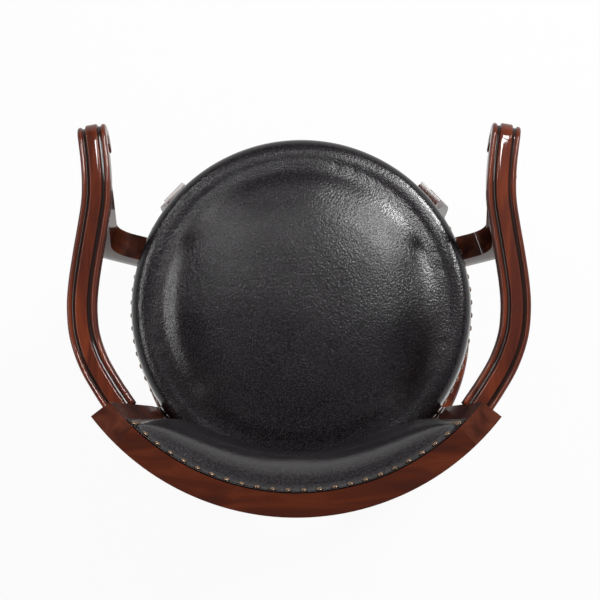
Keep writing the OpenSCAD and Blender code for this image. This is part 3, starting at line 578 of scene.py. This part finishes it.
# Half of the section, across and down from the middle of the band: band, groove, bead, rounded side
arm_half = [(0.2 * band_w, 0), (0.37 * band_w, 0), (0.42 * band_w, -0.0001)]
arm_half += [(groove_in - 0.0007, -0.0004), (groove_in - 0.00015, -0.0012), (groove_in + 0.0001, -0.002)]
arm_half += [(groove_in + 0.0005, -groove_d), (groove_out - 0.0007, -groove_d),
             (groove_out - 0.0001, -0.0036)]
arm_half += [(bead_middle + bead_w / 2 * math.cos(math.radians(a)),
              -bead_drop - bead_w / 2 + bead_w / 2 * math.sin(math.radians(a)))
             for a in range(168, -1, -21)]
arm_half += [(arm_w / 2 - in_by, -arm_h + up_by) for in_by, up_by in
             ((0, 0.009), (0.0006, 0.0055), (0.002, 0.0028), (0.0042, 0.0008), (0.0065, 0))]
arm_section = [(0, 0)] + arm_half + [(0, -arm_h)] + [(-x, z) for x, z in arm_half[::-1]]
# The sides of the section that take the painted shade of the grooves
groove_sides = range(6, 10)


def smooth_line(line, steps):
    """Points on a smooth line through the points of a list."""
    points = []
    before = tuple(2 * a - b for a, b in zip(line[0], line[1]))
    after = tuple(2 * a - b for a, b in zip(line[-1], line[-2]))
    padded = [before] + line + [after]
    for a, b, c, d in zip(padded, padded[1:], padded[2:], padded[3:]):
        for t in (i / steps for i in range(steps)):
            points.append(tuple(0.5 * (2 * q + (r - o) * t + (2 * o - 5 * q + 4 * r - s) * t * t
                                       + (3 * q - o - 3 * r + s) * t ** 3) for o, q, r, s in zip(a, b, c, d)))
    return points + [line[-1]]


def arm_ring(middle, turn, tilt):
    """The section about the scroll's axis: upright along the arm, and wound inwards in the scroll."""
    ring = []
    below_groove = 0.003
    shoulder = -groove_d - below_groove
    for across, height in arm_section:
        deep = height
        if tilt < math.pi / 2 and height < shoulder:
            deep = shoulder + (height - shoulder) * (scroll_r - scroll_core + shoulder) / (arm_h + shoulder)
        reach = scroll_r + deep
        ahead = reach * math.cos(tilt)
        ring.append((middle[0] + math.cos(turn) * across + math.sin(turn) * ahead,
                     middle[1] + math.sin(turn) * across - math.cos(turn) * ahead,
                     arm_top - scroll_r + reach * math.sin(tilt)))
    return ring


def arm(name, side):
    """One arm from the back post to the end of its scroll, with painted shade in its grooves."""
    line = smooth_line(arm_line, 6)
    rings = []
    for i, middle in enumerate(line[:-1]):
        (x0, y0), (x1, y1) = line[max(0, i - 1)], line[i + 1]
        turn = math.pi / 2 - back_half if i == 0 else math.atan2(x1 - x0, y0 - y1)
        ease = max(0.0, 1 - (len(line) - 1 - i) / bow_rings)
        rings.append(arm_ring(middle, turn, math.radians(90 - bow * ease)))
    scroll_steps = 30
    for k in range(scroll_steps + 1):
        tilt = math.radians(90 - bow + (scroll_end - 90 + bow) * k / scroll_steps)
        rings.append(arm_ring(line[-1], scroll_turn, tilt))
    wide, count = len(arm_section), len(rings)
    faces = [(i * wide + j, i * wide + (j + 1) % wide, (i + 1) * wide + (j + 1) % wide, (i + 1) * wide + j)
             for i in range(count - 1) for j in range(wide)]
    faces += [tuple(range(wide))[::-1], tuple((count - 1) * wide + j for j in range(wide))]
    points = [(side * x, y, z) for ring in rings for x, y, z in ring]
    if side < 0:
        faces = [f[::-1] for f in faces]
    mesh = bpy.data.meshes.new(name)
    mesh.from_pydata(points, [], faces)
    mesh.materials.append(arm_mahogany)
    # The second material is near-black painted shade for the grooves
    mesh.materials.append(painted_groove_shade)
    for k, face in enumerate(mesh.polygons):
        face.use_smooth = k < len(faces) - 2
        j = k % wide
        face.material_index = int(face.use_smooth and (j in groove_sides or wide - 1 - j in groove_sides))
    piece = bpy.data.objects.new(name, mesh)
    bpy.context.scene.collection.objects.link(piece)
    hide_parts(name.replace("carved_", ""))
    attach(piece, "seat")


arm_grain = (60, 7, 60)
arm_mahogany = lacquered_wood("mahogany_arms", (0.05, 0.009, 0.004), (0.098, 0.017, 0.006),
                              (0.155, 0.028, 0.008), arm_grain, gloss=0.7)
# A near-black copy of the arm wood: painted shade for the dark inside the grooves
painted_groove_shade = lacquered_wood("painted_groove_shade", (0.008, 0.004, 0.003), (0.014, 0.006, 0.004),
                              (0.03, 0.01, 0.006), arm_grain, gloss=0.5)
arm("carved_arm_left", 1)
arm("carved_arm_right", -1)

# The back: two posts stand behind the seat, with a crest rail and a lower rail dowelled between
# them. The rails are cut from thick mahogany, and the posts are stained darker.
post_stain = lacquered_wood("dark_stained_posts", (0.04, 0.01, 0.005), (0.075, 0.018, 0.009),
                            (0.105, 0.027, 0.013), grain=(60, 60, 9), gloss=0.45)
dress(["post_left", "post_right"], post_stain, rounding=0.0018)
dress(["crest_rail", "lower_back_rail"], level_mahogany, rounding=0.0035)
dress(["arm_dowels", "back_dowels"], birch, rounding=0.0002)
dress(["back_panel"], dark_stain, rounding=0.0004)

# The outside of the back: the same leather over a thin layer of foam, drawn round the edges of a
# curved board and tacked behind, so that it swells a little between the posts.
back_leather = grained_leather("black_leather_back", leather_dark, leather_worn, leather_dullness)
outside_low, outside_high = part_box("outside_back")
outside_t, outside_swell, outside_hem = 0.004, 0.0045, 0.006
outside_inset = 0.005
outside_back_r = back_in + back_t - outside_inset
outside_air = 0.001
outside_half = math.asin(outside_high.x / (outside_back_r + outside_t)) - outside_air
outside_columns, outside_rows = 64, 48


def swell(share, power):
    """How full a cushion is at a share of the way from its middle to its edge."""
    return math.sqrt(max(0.0, 1 - abs(share) ** power))


def outside_point(u, v, outer):
    """A point of the outside leather: across it and up it from -1 to 1, on its outer or inner face."""
    hem_share = 0.35
    half_w = outside_half * outside_back_r
    half_h = (outside_high.z - outside_low.z) / 2
    edge_u = max(0.0, abs(u) * half_w - half_w + outside_hem)
    edge_v = max(0.0, abs(v) * half_h - half_h + outside_hem)
    drop = min(1.0, max(edge_u, edge_v) / outside_hem)
    thick = outside_t * (hem_share + (1 - hem_share) * swell(drop, 3))
    thick += outside_swell * swell(u, 2) * swell(v, 2)
    r = outside_back_r + (thick if outer else 0)
    turn = outside_half * u
    return (r * math.sin(turn), r * math.cos(turn) - back_shift,
            (outside_low.z + outside_high.z) / 2 + v * half_h)


def outside_side(outer):
    """A grid of the panel's inside or outside, with its lines closer together at the edges."""
    lines_u = [math.sin(math.pi * (i / outside_columns - 0.5)) for i in range(outside_columns + 1)]
    lines_v = [math.sin(math.pi * (j / outside_rows - 0.5)) for j in range(outside_rows + 1)]
    return [outside_point(u, v, outer) for v in lines_v for u in lines_u]


outside = pillow("outside_back_leather", outside_side(outer=False), outside_side(outer=True),
                 outside_columns, outside_rows, back_leather)
smooth = outside.modifiers.new("leather_skin", "SUBSURF")
smooth.levels = smooth.render_levels = 1
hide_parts("outside_back")
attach(outside, "seat")

# The back pad: leather over foam on the curved panel. Its edge is nailed down flat all round, and
# the foam swells inside that rim.
pad_low, pad_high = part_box("back_pad")
pad_half = math.radians(46.4)
pad_air = 0.0003
pad_back_r = back_in - pad_air
pad_edge = 0.0013
pad_t = 0.0365
pad_band = 0.010
pad_columns, pad_rows = 76, 64


def pad_point(u, v, front):
    """A point of the pad: across it and up it from -1 to 1, on its front or its back."""
    half_h = (pad_high.z - pad_low.z) / 2
    inner_u = 1 - pad_band / (back_in * pad_half)
    inner_v = 1 - pad_band / half_h
    full = swell(min(1.0, abs(u) / inner_u), 4) * swell(min(1.0, abs(v) / inner_v), 7)
    thick = pad_edge + (pad_t - loose - pad_edge) * full
    r = pad_back_r - thick if front else pad_back_r
    return (r * math.sin(pad_half * u), r * math.cos(pad_half * u) - back_shift,
            (pad_low.z + pad_high.z) / 2 + v * half_h)


def pad_side(front):
    """A grid of the pad's front or back."""
    return [pad_point(2 * i / pad_columns - 1, 2 * j / pad_rows - 1, front)
            for j in range(pad_rows + 1) for i in range(pad_columns + 1)]


pad_front = pad_side(front=True)
pad = pillow("back_cushion", pad_front, pad_side(front=False), pad_columns, pad_rows, back_leather)


def pad_held(i, point):
    """The back of the pad and its flat nailed rim are held."""
    rim_t = pad_edge + 0.001
    thick = pad_back_r - math.hypot(point.x, point.y + back_shift)
    return i >= len(pad_front) or thick < rim_t


plump(pad, pad_held, pressure=3.0, cap=0.003)
smooth = pad.modifiers.new("leather_skin", "SUBSURF")
smooth.levels = smooth.render_levels = 1
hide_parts("back_pad")
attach(pad, "seat")

# The nails of the back: the same bronzed heads, a little larger, through the pad's rim into the
# curved panel. One row is under the crest rail, one above the lower rail and one down each side.
row_inset, side_inset = 0.0055, 0.0085
side_turn = pad_half - side_inset / back_in
low_row, high_row = pad_low.z + row_inset, pad_high.z - row_inset
row_count, side_count = 24, 17
row_turns = [side_turn * (2 * i / (row_count - 1) - 1) for i in range(row_count)]
side_heights = [low_row + (high_row - low_row) * i / (side_count + 1) for i in range(1, side_count + 1)]
spots = [(turn, z) for turn in row_turns for z in (low_row, high_row)]
spots += [(turn, z) for z in side_heights for turn in (-side_turn, side_turn)]
back_nail_r = pad_back_r - pad_edge - nail_air
back_nail_places = [((back_nail_r * math.sin(a), back_nail_r * math.cos(a) - back_shift, z),
                     (-math.sin(a), -math.cos(a), 0)) for a, z in spots]
nails("back_nail_heads", back_nail_places, radius=0.0042, height=0.0034, node_replaced="back_nails")
